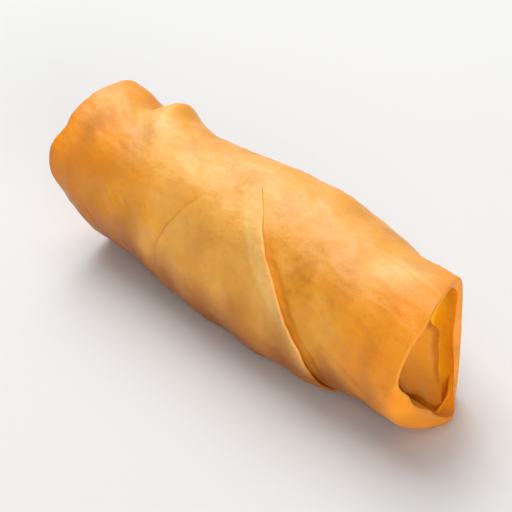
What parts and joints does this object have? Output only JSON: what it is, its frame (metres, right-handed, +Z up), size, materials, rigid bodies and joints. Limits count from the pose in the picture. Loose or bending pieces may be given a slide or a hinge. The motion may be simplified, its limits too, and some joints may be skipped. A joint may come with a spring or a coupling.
{
  "type": "fried spring roll",
  "caption": "Golden fried spring roll: a thin crisp wrapper rolled round a filling, ends folded shut, closed by a pointed flap on the front.",
  "frame": {"origin": "bottom centre of the bounding box, on the plane the roll lies on", "axes": "+X along the roll toward the end whose folded pocket shows, -Y the front with the closing flap, +Z up"},
  "size_m": [0.0982, 0.0318, 0.0307],
  "materials": {
    "fried_wrapper": "deep-fried pastry wrapper, golden brown and slightly oily, more orange toward the folded ends"
  },
  "bodies": {
    "root": {"spring_roll": "fried_wrapper"}
  },
  "joints": []
}
